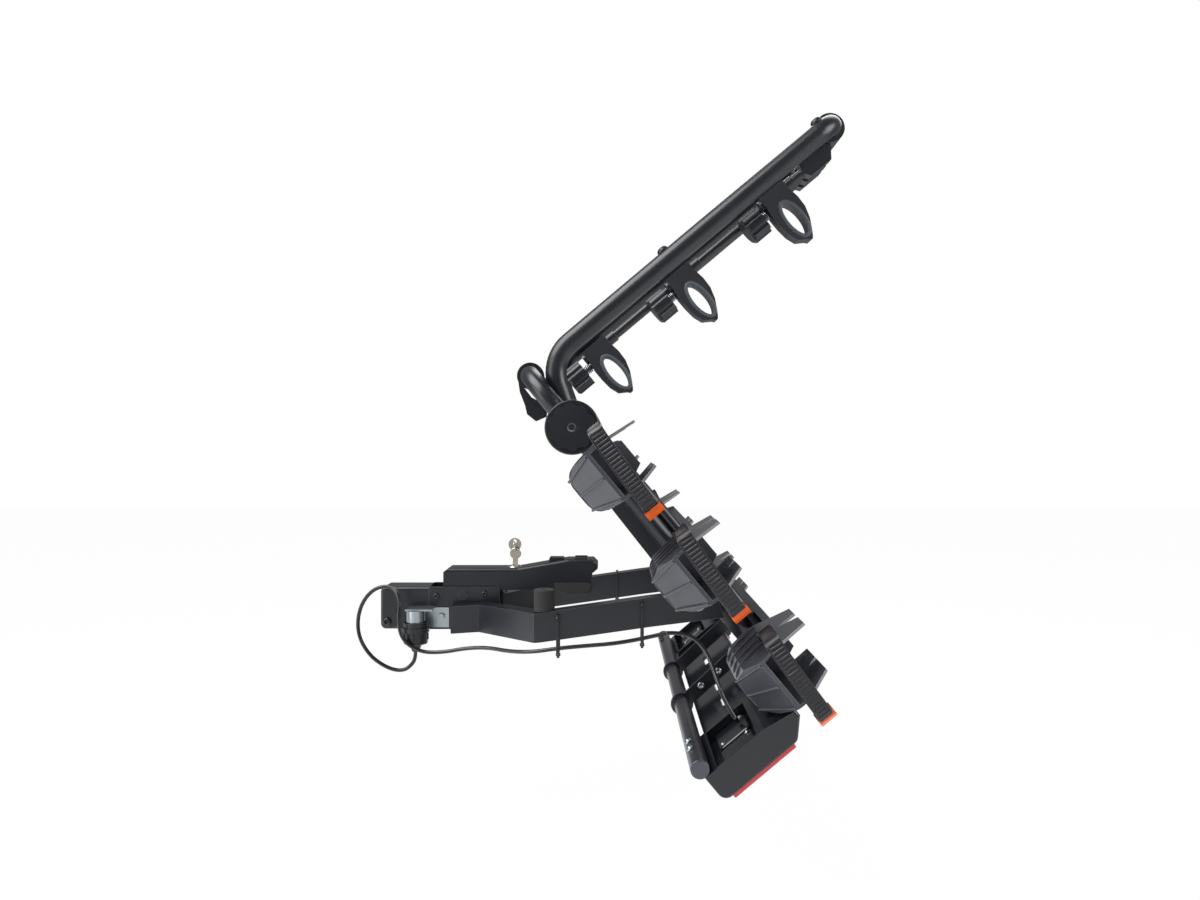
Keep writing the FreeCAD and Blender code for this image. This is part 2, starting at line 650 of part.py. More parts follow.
def plate_panel():
    """The panel between the lamps that holds the number plate, with slots for its clamps."""
    u, w = BOARD_UW
    back = u + BOARD_TUBE_R + 6
    panel = box(back, back + PLATE_THICK, -LAMP_INNER, LAMP_INNER, w + 14, w + LAMP_TALL - 32)
    frame = box(back + PLATE_THICK, back + PLATE_THICK + 6, -LAMP_INNER, LAMP_INNER,
                w + 14, w + LAMP_TALL - 32)
    inset = box(back + PLATE_THICK, back + 20, -265, 265, w + 20, w + LAMP_TALL - 38)
    panel = tidy_join(panel, frame.cut(inset))
    for i in range(-2, 3):
        panel = panel.cut(box(back - 1, back + 20, 100 * i - 30, 100 * i + 30, w + 62, w + 70))
    return panel


def tilt_latch():
    """The hooked latch round the front tube, with its knob."""
    y = LATCH_Y
    ring = rod_y(DECK_FRONT, 0, DECK_TUBE_R + 7, y - 12, y + 12)
    root = -DECK_TUBE_R - 5.5
    hook = [(4, 0), (30, -1), (62, 11), (76, -3), (70, -23), (50, -27), (34, -19), (10, -11),
            (-6, -1)]
    hook = [(DECK_FRONT + x, root + z) for x, z in hook]
    knob = rod_y(DECK_FRONT + 62, root - 9, 11, y - 14, y + 14)
    latch = tidy_join(ring, side_prism(hook, y - 8, y + 8), knob)
    return latch.cut(rod_y(DECK_FRONT, 0, DECK_TUBE_R + 2 * RUN_FIT, y - 20, y + 20))


# ---- hoop and holders ----

def hoop_pipe(radius):
    """The hoop's bent bar: up from one hinge, across the top and down to the other."""
    bu, bw = HOOP_BEND
    y = HOOP_HALF_W
    points = [(0, -y, 0), (bu, -y, bw), (bu, -y, HOOP_TOP), (bu, y, HOOP_TOP), (bu, y, bw),
              (0, y, 0)]
    return sweep(points, [HOOP_BEND_R, HOOP_CORNER_R, HOOP_CORNER_R, HOOP_BEND_R], radius)[0]


def hoop():
    """The hoop: a bent tube with a hub and a pivot pin at each foot."""
    tube = hoop_pipe(HOOP_R).cut(hoop_pipe(HOOP_R - HOOP_WALL))
    parts = []
    inner, mid, _ = pin_stations()
    for side in (-1, 1):
        y = HOOP_HALF_W
        parts.append(rod_y(0, 0, HOOP_R + 4, side * (y - HOOP_R), side * (y + HOOP_R)))
        parts.append(rod_y(0, 0, PIN_R, side * y, side * (mid - SIDE_GAP)))
    return tidy_join(tube, *parts)


def hinge_knob(side):
    """A ten-lobed hand knob on the hinge, with its bolt."""
    _, outer = hub_faces()
    y0 = outer + SIDE_GAP
    y1 = y0 + KNOB_THICK
    _, mid, _ = pin_stations()
    knob = rod_y(0, 0, KNOB_R - 4, side * y0, side * y1)
    lobes = []
    for i in range(10):
        a = math.radians(36 * i)
        lobes.append(rod_y((KNOB_R - 9) * math.cos(a), (KNOB_R - 9) * math.sin(a), 9,
                           side * (y0 + 3), side * y1))
    knob = tidy_join(knob, *lobes)
    knob = knob.cut(rod_y(0, 0, 9, side * (y1 - 5), side * (y1 + 1)))
    screw = rod_y(0, 0, 5.5, side * (y1 - 6), side * (y1 - 1))
    bolt = rod_y(0, 0, KNOB_PIN_R, side * mid, side * (y0 + 8))
    return tidy_join(knob, screw, bolt)


def holder_rod(index):
    """A holder's rod, with the clamp by which it hangs and swings on the hoop's top tube."""
    y, claw_w = HOLDER_Y[index], HOLDER_CLAW_W[index]
    hu = HOOP_BEND[0]
    half = 17
    ring = rod_y(hu, HOOP_TOP, HOOP_R + 8, y - half, y + half)
    block = [(hu - 12, HOOP_TOP - 22), (hu + 20, HOOP_TOP - 14), (hu + 46, HOOP_TOP - 34),
             (hu + 46, HOOP_TOP - 82), (hu + 30, HOOP_TOP - 92), (hu + 14, HOOP_TOP - 86),
             (hu + 2, HOOP_TOP - 60)]
    block = side_prism([(x, z) for x, z in block], y - 13, y + 13)
    low = claw_w - 30
    bar = rod_z(ROD_U, y, ROD_R, low, HOOP_TOP - 60)
    rod = tidy_join(ring, block, bar, *rod_collars(index))
    rod = rod.cut(rod_y(hu, HOOP_TOP, HOOP_R + 2 * RUN_FIT, y - 30, y + 30))
    groove = rod_y(hu, HOOP_TOP, HOOP_R + 4.5, y - 6, y + 6)
    return rod.cut(groove)


def claw_spread():
    """How far a claw's hub reaches above and below its middle."""
    return 27.0


def rod_collars(index):
    """The two collars that keep a claw in its place on the rod."""
    y, w = HOLDER_Y[index], HOLDER_CLAW_W[index]
    reach = claw_spread() + SIDE_GAP
    return [rod_z(ROD_U, y, ROD_R + 2.5, w + reach, w + reach + 18),
            rod_z(ROD_U, y, ROD_R + 2.5, w - reach - 5, w - reach)]


def claw(index):
    """A pair of jaws round a bike's tube, on a hub that turns on the rod."""
    y, w = HOLDER_Y[index], HOLDER_CLAW_W[index]
    half = CLAW_THICK / 2
    wide = CLAW_HALF_W
    spread = claw_spread()
    outline = [(CLAW_BACK, -spread), (CLAW_BACK, spread), (-84, spread), (-62, wide),
               (-40, wide - 1), (-18, wide - 8), (0, wide - 18), (CLAW_TIP - 4, 5), (CLAW_TIP, 1.5),
               (CLAW_TIP, -3), (CLAW_TIP - 5, -7), (0, 8 - wide), (-18, -wide + 2),
               (-40, -wide), (-62, -wide), (-84, -spread)]
    jaw = side_prism([(x, w + z) for x, z in outline], y - half, y + half)
    oval = Part.Wire([Part.Ellipse(V(0, 0, 0), JAW_LONG, JAW_SHORT).toShape()])
    hole = Part.Face(oval).extrude(V(0, 0, CLAW_THICK + 2))
    hole.rotate(V(0, 0, 0), V(1, 0, 0), 90)
    hole.translate(V(JAW_CENTRE, y + half + 1, w))
    jaw = jaw.cut(hole)
    jaw = jaw.cut(box(-20, CLAW_TIP + 5, y - half - 1, y + half + 1, w - 0.8, w + 0.8))
    jaw = jaw.cut(rod_z(ROD_U, y, ROD_R + CLAW_PLAY, w - 99, w + 99))
    bolt_u = ROD_U + 18
    return jaw.cut(rod_z(bolt_u, y, GRIP_BOLT_R + RUN_FIT, w - 99, w - 4))


def claw_grip(index):
    """The fluted hand grip under a claw, with the bolt that it turns."""
    y, w = HOLDER_Y[index], HOLDER_CLAW_W[index]
    u = ROD_U + 18
    top = w - CLAW_HALF_W - 14
    slope = 4
    grip = rod_z(u, y, GRIP_R, top - GRIP_TALL + slope, top)
    foot = Part.makeCone(GRIP_R - slope, GRIP_R, slope, V(u, y, top - GRIP_TALL))
    grip = tidy_join(grip, foot)
    flutes = []
    for i in range(8):
        a = math.radians(45 * i + 22.5)
        reach = GRIP_R + 3
        flutes.append(rod_z(u + reach * math.cos(a), y + reach * math.sin(a), 7,
                            top - GRIP_TALL - 1, top + 1))
    grip = grip.cut(flutes[0].fuse(flutes[1:]))
    bolt = rod_z(u, y, GRIP_BOLT_R, top - 1, w - 6)
    return tidy_join(grip, bolt)


# ---- assembly ----

def placed(shape):
    """A piece of the platform in its tilted place."""
    turn = FreeCAD.Rotation(V(0, 1, 0), TILT)
    copy = shape.copy()
    copy.Placement = FreeCAD.Placement(V(HOOP_HINGE[0], 0, HOOP_HINGE[1]), turn)
    return copy


def main():
    """Builds every piece and writes it in its place."""
    arms = both(arm)
    nodes = {"coupling_body": coupling_body(), "coupling_cheeks": coupling_cheeks(),
             "tilt_axle": tilt_axle(), "plug_bracket": plug_bracket(),
             "trailer_plug": trailer_plug(), "loop_cable": loop_cable(),
             "board_cable": board_cable(), "coupling_lever": coupling_lever(),
             "lever_grip": lever_grip(), "release_button": release_button(),
             "lock_key": lock_key()}
    for name, side in (("near", -1), ("far", 1)):
        nodes[f"arm_{name}"] = arms[name]
        nodes[f"bump_stop_{name}"] = bump_stop(side, arms[name])
    tilted = {"deck_frame": deck_frame(), "board_tube": board_tube(),
              "plate_panel": plate_panel(), "tilt_latch": tilt_latch(), "hoop": hoop()}
    for name, side in (("near", -1), ("far", 1)):
        tilted[f"hinge_housing_{name}"] = hinge_housing(side)
        tilted[f"hinge_knob_{name}"] = hinge_knob(side)
        tilted[f"board_bracket_{name}"] = board_bracket(side)
        tilted[f"lamp_{name}"] = lamp(side)
        tilted[f"lens_{name}"] = lens(side)
        for row in range(len(ROWS)):
            tilted[f"wheel_cup_{row + 1}_{name}"] = wheel_cup(row, side)
            tilted[f"strap_{row + 1}_{name}"] = strap(row, side)
            tilted[f"buckle_{row + 1}_{name}"] = buckle(row, side)
    for row in range(len(ROWS)):
        tilted[f"tray_channel_{row + 1}"] = tray_channel(row)
    for i in range(len(HOLDER_Y)):
        tilted[f"holder_rod_{i + 1}"] = holder_rod(i)
        tilted[f"claw_{i + 1}"] = claw(i)
        tilted[f"claw_grip_{i + 1}"] = claw_grip(i)
    nodes.update({name: placed(shape) for name, shape in tilted.items()})
    os.makedirs("parts", exist_ok=True)
    for name, shape in nodes.items():
        solids = shape.Solids
        if len(solids) != 1 or not shape.isValid():
            print(f"check {name}: {len(solids)} solids, valid {shape.isValid()}")
        shape.exportStep(f"parts/{name}.step")
    print(len(nodes), "nodes")


main()
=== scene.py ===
"""Looks of a towball bike rack for three bikes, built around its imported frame."""
import json
import logging
from dataclasses import dataclass, field
from enum import Enum
from typing import Callable

import bmesh
import bpy
import numpy as np
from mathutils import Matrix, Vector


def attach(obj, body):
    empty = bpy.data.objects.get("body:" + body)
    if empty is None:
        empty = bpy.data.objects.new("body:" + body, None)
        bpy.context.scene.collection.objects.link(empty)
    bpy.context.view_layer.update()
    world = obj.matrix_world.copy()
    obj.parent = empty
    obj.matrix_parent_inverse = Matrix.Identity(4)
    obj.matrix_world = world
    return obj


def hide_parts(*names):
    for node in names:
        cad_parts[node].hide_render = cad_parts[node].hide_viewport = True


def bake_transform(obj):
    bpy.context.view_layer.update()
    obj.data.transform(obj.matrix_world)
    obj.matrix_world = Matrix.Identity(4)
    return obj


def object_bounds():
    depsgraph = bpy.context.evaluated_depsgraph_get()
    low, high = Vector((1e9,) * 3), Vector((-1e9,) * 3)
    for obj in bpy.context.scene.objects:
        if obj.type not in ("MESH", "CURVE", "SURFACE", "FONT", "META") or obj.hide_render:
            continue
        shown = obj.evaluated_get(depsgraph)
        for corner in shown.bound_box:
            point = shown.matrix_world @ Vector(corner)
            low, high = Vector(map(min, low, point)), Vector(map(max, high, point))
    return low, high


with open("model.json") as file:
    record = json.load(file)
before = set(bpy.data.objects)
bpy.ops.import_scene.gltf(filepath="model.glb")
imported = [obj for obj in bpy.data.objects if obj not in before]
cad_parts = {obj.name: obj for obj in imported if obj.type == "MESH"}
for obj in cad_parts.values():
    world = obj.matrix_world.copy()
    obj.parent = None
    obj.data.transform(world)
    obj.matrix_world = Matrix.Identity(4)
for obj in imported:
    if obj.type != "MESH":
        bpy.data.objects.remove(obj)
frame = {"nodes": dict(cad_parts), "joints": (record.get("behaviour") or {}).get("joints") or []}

LOG = logging.getLogger("bike_rack")
MM = 0.001
SIDES = (("near", -1), ("far", 1))
CAD_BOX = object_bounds()


def linear(code: str) -> tuple[float, float, float, float]:
    """Turns an sRGB hex colour into linear RGB.

    Args:
        code: Six hex digits.

    Returns:
        Linear red, green, blue and an alpha of 1. Each channel is the sRGB curve undone.
    """
    values = np.array([int(code[i:i + 2], 16) / 255 for i in (0, 2, 4)])
    flat = np.where(values <= 0.04045, values / 12.92, ((values + 0.055) / 1.055) ** 2.4)
    return (float(flat[0]), float(flat[1]), float(flat[2]), 1.0)


def add(tree: bpy.types.NodeTree, kind: str, settings: dict | None = None,
        links: dict | None = None) -> bpy.types.Node:
    """Adds one shader node.

    Args:
        tree: The node tree.
        kind: The node's type name.
        settings: Attribute or input names with their values; input names start with a capital.
        links: Input names with the output sockets that feed them.

    Returns:
        The new node.
    """
    node = tree.nodes.new(kind)
    for name, value in (settings or {}).items():
        if name[0].isupper() or isinstance(name, int):
            node.inputs[name].default_value = value
        else:
            setattr(node, name, value)
    for name, socket in (links or {}).items():
        index = int(name[1:]) if name[0] == "#" else name
        tree.links.new(socket, node.inputs[index])
    return node


class Grain(Enum):
    """How a surface's fine relief runs."""

    PEBBLED = "pebbled"
    BRUSHED = "brushed"
    SMOOTH = "smooth"


@dataclass(frozen=True)
class Finish:
    """A surface with two close shades, uneven gloss, fine relief and paler edges, which stand for wear
    and a painted highlight.
    """

    name: str
    shade: str
    second: str
    roughness: tuple[float, float]
    metallic: float = 0.0
    ior: float = 1.5
    coat: float = 0.0
    grain: Grain = Grain.PEBBLED
    grain_mm: float = 1.2
    relief_mm: float = 0.05
    patch_mm: float = 60.0
    # The paler shade along edges: a painted highlight, with some wear.
    edge: str = ""
    edge_amount: float = 0.35
    rib_mm: float = 0.0
    rib_depth_mm: float = 0.3

    def build(self) -> bpy.types.Material:
        """Makes the material once and hands back the same one after that."""
        known = bpy.data.materials.get(self.name)
        if known is not None:
            return known
        material = bpy.data.materials.new(self.name)
        material.use_nodes = True
        tree = material.node_tree
        tree.nodes.clear()
        out = add(tree, "ShaderNodeOutputMaterial")
        shader = add(tree, "ShaderNodeBsdfPrincipled", {
            "Metallic": self.metallic, "IOR": self.ior, "Coat Weight": self.coat,
            "Coat Roughness": 0.15})
        tree.links.new(shader.outputs["BSDF"], out.inputs["Surface"])
        place = add(tree, "ShaderNodeTexCoord")
        patches = add(tree, "ShaderNodeTexNoise",
                      {"Scale": 1.0 / (self.patch_mm * MM), "Detail": 4.0},
                      {"Vector": place.outputs["Object"]})
        colour = add(tree, "ShaderNodeMix", {"data_type": "RGBA"},
                     {"Factor": patches.outputs["Fac"]})
        colour.inputs[6].default_value = linear(self.shade)
        colour.inputs[7].default_value = linear(self.second)
        shown = colour.outputs[2]
        if self.edge:
            shown = self.paler_edges_wear_and_highlight(tree, shown)
        tree.links.new(shown, shader.inputs["Base Color"])
        spread = add(tree, "ShaderNodeMapRange",
                     {"To Min": self.roughness[0], "To Max": self.roughness[1]},
                     {"Value": patches.outputs["Fac"]})
        tree.links.new(spread.outputs["Result"], shader.inputs["Roughness"])
        tree.links.new(self.relief(tree, place), shader.inputs["Normal"])
        return material

    def paler_edges_wear_and_highlight(self, tree: bpy.types.NodeTree,
                   below: bpy.types.NodeSocket) -> bpy.types.NodeSocket:
        """Brings out a paler shade where the surface turns sharply: edge wear and a painted highlight.

        Args:
            tree: The node tree.
            below: The colour of the surface away from its edges.

        Returns:
            The colour with its edges, where the true normal turns from the rounded one.
        """
        shape = add(tree, "ShaderNodeNewGeometry")
        rounded = add(tree, "ShaderNodeBevel", {"samples": 4, "Radius": 0.9 * MM})
        turn = add(tree, "ShaderNodeVectorMath", {"operation": "DOT_PRODUCT"},
                   {"#0": shape.outputs["Normal"], "#1": rounded.outputs["Normal"]})
        ramp = add(tree, "ShaderNodeMapRange",
                   {"From Min": 0.97, "From Max": 0.82, "To Min": 0.0,
                    "To Max": self.edge_amount}, {"Value": turn.outputs["Value"]})
        mix = add(tree, "ShaderNodeMix", {"data_type": "RGBA"},
                  {"Factor": ramp.outputs["Result"], "#6": below})
        mix.inputs[7].default_value = linear(self.edge)
        return mix.outputs[2]

    def relief(self, tree: bpy.types.NodeTree,
               place: bpy.types.Node) -> bpy.types.NodeSocket:
        """Makes the fine relief: pebbles, long brush marks or a faint unevenness.

        Args:
            tree: The node tree.
            place: The texture coordinate node.

        Returns:
            The normal that the shader reads.
        """
        stretch = {Grain.PEBBLED: (1, 1, 1), Grain.BRUSHED: (1, 0.06, 1),
                   Grain.SMOOTH: (0.3, 0.3, 0.3)}[self.grain]
        spot = add(tree, "ShaderNodeMapping", {"Scale": stretch},
                   {"Vector": place.outputs["Object"]})
        noise = add(tree, "ShaderNodeTexNoise",
                    {"Scale": 1.0 / (self.grain_mm * MM), "Detail": 3.0},
                    {"Vector": spot.outputs["Vector"]})
        bump = add(tree, "ShaderNodeBump", {"Strength": 0.35, "Distance": self.relief_mm * MM},
                   {"Height": noise.outputs["Fac"]})
        if not self.rib_mm:
            return bump.outputs["Normal"]
        waves = add(tree, "ShaderNodeTexWave",
                    {"wave_type": "BANDS", "bands_direction": "Y", "wave_profile": "SIN",
                     "Scale": 0.314159 / (self.rib_mm * MM)},
                    {"Vector": place.outputs["Object"]})
        ribs = add(tree, "ShaderNodeBump",
                   {"Strength": 0.6, "Distance": self.rib_depth_mm * MM},
                   {"Height": waves.outputs["Fac"], "Normal": bump.outputs["Normal"]})
        return ribs.outputs["Normal"]


# Powder coat on steel tube: baked powder, satin, with a faint orange peel. Its paler edge shade is a
# painted highlight along the edges, with some wear; the edge shades of the finishes below work the same
# way.
POWDER = Finish("powder_coated_steel", "0d0f14", "14171f", (0.32, 0.42), ior=1.5, coat=0.15,
                grain_mm=1.6, relief_mm=0.014, edge="8e929c", edge_amount=0.55)
# Glass-filled nylon, moulded in a spark-eroded tool: matt, fine pebbles.
NYLON = Finish("textured_black_nylon", "101218", "181b22", (0.30, 0.42), grain_mm=1.1,
               relief_mm=0.09, edge="74767e", edge_amount=0.35)
# The matt jaws: the same nylon, a shade paler.
JAW_NYLON = Finish("matt_jaw_nylon", "13151b", "1b1e26", (0.44, 0.56), grain_mm=1.0,
                   relief_mm=0.1, edge="8a8c94", edge_amount=0.4)
# ABS lamp housings: moulded, semi-gloss.
ABS_DARK = Finish("moulded_dark_abs", "111318", "1a1c22", (0.16, 0.26), grain_mm=1.5,
                  relief_mm=0.04, edge="7f8189")
# Polypropylene wheel cradles: moulded, mid grey, slightly waxy. The pale edge shade b5b5bd is the lit
# flank's colour, a painted highlight along the edges.
CUP_GREY = Finish("grey_polypropylene", "33343a", "4d4e55", (0.18, 0.30), ior=1.49,
                  grain_mm=1.4, relief_mm=0.06, edge="b5b5bd", edge_amount=0.5)
# Strap plastic: ribbed thermoplastic, dark; its pale rib tops are a painted highlight along the ribs'
# edges, with some wear.
STRAP = Finish("ribbed_strap_tpe", "101114", "1b1c20", (0.34, 0.44), grain_mm=0.9,
               relief_mm=0.02, edge="6f7077", edge_amount=0.35)
# Orange ratchet levers: glossy moulded ABS.
ORANGE = Finish("orange_abs", "d9541a", "f06a22", (0.26, 0.34), grain_mm=2.0,
                relief_mm=0.03, coat=0.2, edge="ff9a5c", edge_amount=0.4)
# Soft natural rubber.
RUBBER = Finish("black_rubber", "0f1012", "17181b", (0.52, 0.64), ior=1.52, grain_mm=0.9,
                relief_mm=0.06, edge="4d4f55")
# Grey thermoplastic rubber that lines the jaws.
GREY_RUBBER = Finish("grey_lining_rubber", "3a4147", "4a5157", (0.42, 0.52), ior=1.52,
                     grain_mm=0.9, relief_mm=0.05, edge="8b949b")
# Zinc plate on steel: bright, faintly patchy.
ZINC = Finish("bright_zinc_plate", "9aa4a8", "b4bcbf", (0.26, 0.38), metallic=1.0,
              grain_mm=2.0, relief_mm=0.02)
# Nickel-plated brass keys.
NICKEL = Finish("nickel_plated_brass", "b8b0a4", "cfc8bc", (0.2, 0.3), metallic=1.0,
                grain_mm=2.0, relief_mm=0.015)
# Anodised aluminium tube and trays: drawn, then anodised grey.
ANODISED = Finish("grey_anodised_aluminium", "4a4b52", "63646c", (0.30, 0.40), metallic=0.85,
                  grain=Grain.BRUSHED, grain_mm=0.8, relief_mm=0.02)
# PVC cable jacket: extruded, smooth and glossy.
JACKET = Finish("pvc_cable_jacket", "101113", "18191c", (0.22, 0.30), grain=Grain.SMOOTH,
                grain_mm=3.0, relief_mm=0.02, coat=0.2)
# Red acrylic lens: clear moulded, over fine vertical optics.
LENS_RED = Finish("red_acrylic_lens", "b3141f", "d3222c", (0.14, 0.22), ior=1.49, coat=0.6,
                  grain=Grain.SMOOTH, grain_mm=3.0, relief_mm=0.02, rib_mm=5.0)

NODE_FINISH: dict[str, Finish] = {
    "coupling_body": POWDER, "coupling_cheeks": POWDER, "arm": POWDER, "tilt_axle": ZINC,
    "bump_stop": RUBBER, "plug_bracket": ZINC, "trailer_plug": NYLON,
    "coupling_lever": NYLON, "lever_grip": RUBBER, "release_button": ABS_DARK,
    "lock_key": NICKEL, "deck_frame": POWDER, "board_tube": ANODISED, "plate_panel": ABS_DARK,
    "tilt_latch": NYLON, "hoop": POWDER, "hinge_housing": NYLON, "board_bracket": POWDER,
    "lamp": ABS_DARK, "lens": LENS_RED, "hinge_knob": NYLON, "tray_channel": ANODISED,
    "wheel_cup": CUP_GREY, "buckle": ORANGE, "holder_rod": POWDER, "claw_grip": NYLON,
    "claw": JAW_NYLON,
}


def finish_of(node: str) -> Finish | None:
    """Finds a CAD node's finish by the longest name that its own starts with."""
    fits = [name for name in NODE_FINISH if node.startswith(name)]
    return NODE_FINISH[max(fits, key=len)] if fits else None


def joint(name: str) -> dict:
    """Finds a joint of the frame by name."""
    return next(j for j in frame["joints"] if j["name"] == name)


class Tilted:
    """The platform's own frame: U rearward, Y across and W up, tilted with the platform."""

    def __init__(self) -> None:
        """Reads the origin from the hoop's hinge and W from a holder's rod."""
        self.origin = np.array(joint("hoop_fold")["pos_m"], dtype=float)
        self.w = np.array(joint("claw_swivel_1")["axis"], dtype=float)
        self.w /= np.linalg.norm(self.w)
        self.y = np.array([0.0, 1.0, 0.0])
        self.u = np.cross(self.y, self.w)

    def world(self, points: np.ndarray) -> np.ndarray:
        """Takes points in millimetres of U, Y and W to metres in the row's frame.

        Args:
            points: An array whose last axis holds U, Y and W.

        Returns:
            The origin plus each coordinate along its own axis.
        """
        points = np.asarray(points, dtype=float) * MM
        return (self.origin + points[..., 0:1] * self.u + points[..., 1:2] * self.y
                + points[..., 2:3] * self.w)


TILTED = Tilted()


def level(points: np.ndarray) -> np.ndarray:
    """Takes points in millimetres of the row's frame to metres."""
    return np.asarray(points, dtype=float) * MM


def finish_piece(piece: bpy.types.Object, finish: Finish, body: str) -> None:
    """Dresses a new piece and makes it ride on a body."""
    piece.data.materials.clear()
    piece.data.materials.append(finish.build())
    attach(piece, body)
    LOG.info("%s rides on %s", piece.name, body)


def shell(name: str, grid: np.ndarray, closed: tuple[bool, bool] = (True, False),
          caps: bool = True) -> bpy.types.Object:
    """Makes one mesh from a grid of points, joined row to row.

    Args:
        name: The piece's name.
        grid: Points in metres, sections by points of a section by three.
        closed: Whether a section closes on itself, and whether the last section meets the first.
        caps: Whether the two open ends are filled.

    Returns:
        The object, with its faces turned outward.
    """
    rows, cols = grid.shape[:2]
    index = np.arange(rows * cols).reshape(rows, cols)
    if closed[0]:
        index = np.concatenate([index, index[:, :1]], axis=1)
    if closed[1]:
        index = np.concatenate([index, index[:1]], axis=0)
    quads = np.stack([index[:-1, :-1], index[:-1, 1:], index[1:, 1:], index[1:, :-1]], axis=-1)
    faces = quads.reshape(-1, 4).tolist()
    if caps and not closed[1]:
        faces += [list(range(cols))[::-1], list(range((rows - 1) * cols, rows * cols))]
    mesh = bpy.data.meshes.new(name)
    mesh.from_pydata(grid.reshape(-1, 3).tolist(), [], faces)
    mesh.update()
    work = bmesh.new()
    work.from_mesh(mesh)
    bmesh.ops.remove_doubles(work, verts=work.verts, dist=1e-6)
    bmesh.ops.recalc_face_normals(work, faces=work.faces)
    work.to_mesh(mesh)
    work.free()
    mesh.shade_smooth()
    piece = bpy.data.objects.new(name, mesh)
    bpy.context.scene.collection.objects.link(piece)
    return piece


def merge(name: str, pieces: list[bpy.types.Object]) -> bpy.types.Object:
    """Joins meshes of one make into a single piece."""
    work = bmesh.new()
    for piece in pieces:
        work.from_mesh(piece.data)
    mesh = bpy.data.meshes.new(name)
    work.to_mesh(mesh)
    work.free()
    for piece in pieces:
        old = piece.data
        bpy.data.objects.remove(piece)
        bpy.data.meshes.remove(old)
    mesh.shade_smooth()
    joined = bpy.data.objects.new(name, mesh)
    bpy.context.scene.collection.objects.link(joined)
    return joined


def crisp(piece: bpy.types.Object, degrees: float = 35.0) -> bpy.types.Object:
    """Keeps edges sharper than an angle crisp under smooth shading."""
    piece.data.set_sharp_from_angle(angle=np.radians(degrees))
    return piece


def rounded_rectangle(width: float, height: float, radius: float, steps: int = 4) -> np.ndarray:
    """Outlines a rectangle with quarter-circle corners.

    Args:
        width: Whole width.
        height: Whole height.
        radius: Corner radius.
        steps: Points in a corner, less one.

    Returns:
        Points by two, anticlockwise: each corner's centre plus the radius at even angles.
    """
    quarter = np.linspace(0, np.pi / 2, steps + 1)
    turns = np.concatenate([quarter + k * np.pi / 2 for k in range(4)])
    sx = np.repeat([1, -1, -1, 1], steps + 1) * (width / 2 - radius)
    sy = np.repeat([1, 1, -1, -1], steps + 1) * (height / 2 - radius)
    return np.stack([sx + radius * np.cos(turns), sy + radius * np.sin(turns)], axis=-1)


def carried(profile: np.ndarray, path: np.ndarray, up: np.ndarray,
            loop: bool = False) -> np.ndarray:
    """Carries a flat outline along a path.

    Args:
        profile: Points by two, or sections by points by two where the outline changes.
        path: Sections by three.
        up: The direction that the outline's second coordinate keeps to.
        loop: Whether the path closes on itself.

    Returns:
        Sections by points by three: the path, plus the first coordinate along the tangent
        crossed with up, plus the second along up.
    """
    if loop:
        tangent = np.roll(path, -1, axis=0) - np.roll(path, 1, axis=0)
    else:
        tangent = np.gradient(path, axis=0)
    tangent /= np.linalg.norm(tangent, axis=1, keepdims=True)
    side = np.cross(tangent, up)
    side /= np.linalg.norm(side, axis=1, keepdims=True)
    above = np.cross(side, tangent)
    profile = np.broadcast_to(profile, (len(path),) + profile.shape[-2:])
    return (path[:, None] + profile[..., 0:1] * side[:, None]
            + profile[..., 1:2] * above[:, None])


def turned(profile: np.ndarray, base: np.ndarray, axis: np.ndarray,
           steps: int = 24) -> np.ndarray:
    """Turns a profile of radius and height about an axis.

    Args:
        profile: Points by two, radius then height, from one pole to the other.
        base: The point at height 0.
        axis: The direction of height.
        steps: Points round the axis.

    Returns:
        A grid of sections by steps by three: base, plus the height along the axis, plus the
        radius round it.
    """
    axis = np.asarray(axis, dtype=float) / np.linalg.norm(axis)
    other = np.array([0.0, 0.0, 1.0]) if abs(axis[2]) < 0.9 else np.array([1.0, 0.0, 0.0])
    first = np.cross(axis, other)
    first /= np.linalg.norm(first)
    second = np.cross(axis, first)
    turn = np.linspace(0, 2 * np.pi, steps, endpoint=False)
    ring = np.cos(turn)[:, None] * first + np.sin(turn)[:, None] * second
    return (base + profile[:, 1][:, None, None] * axis
            + profile[:, 0][:, None, None] * ring[None])


def softened(points: np.ndarray, rounds: int = 3) -> np.ndarray:
    """Cuts an open path's corners by quarters, a few times over, and keeps its ends."""
    for _ in range(rounds):
        cut = np.stack([0.75 * points[:-1] + 0.25 * points[1:],
                        0.25 * points[:-1] + 0.75 * points[1:]], axis=1).reshape(-1, 3)
        points = np.concatenate([points[:1], cut[1:-1], points[-1:]])
    return points


def evenly(points: np.ndarray, count: int) -> np.ndarray:
    """Places a count of points evenly along a path, by its length."""
    steps = np.linalg.norm(np.diff(points, axis=0), axis=1)
    along = np.concatenate([[0.0], np.cumsum(steps)])
    at = np.linspace(0, along[-1], count)
    return np.stack([np.interp(at, along, points[:, k]) for k in range(3)], axis=-1)


def screw_head(name: str, base: np.ndarray, axis: np.ndarray, radius: float,
               height: float) -> bpy.types.Object:
    """Makes a button head with a round socket, set on a surface.

    Args:
        name: The piece's name.
        base: The middle of its seat, in metres.
        axis: The way that the head points.
        radius: Radius of the head, in millimetres.
        height: Height of the head, in millimetres.

    Returns:
        The head: a turned profile with a crowned edge and a sunk socket.
    """
    r, h = radius * MM, height * MM
    profile = np.array([(0, 0), (r * 0.96, 0), (r, h * 0.25), (r * 0.93, h * 0.7),
                        (r * 0.7, h), (r * 0.46, h), (r * 0.42, h * 0.45), (0, h * 0.4)])
    return shell(name, turned(profile, base, axis, 20), caps=False)


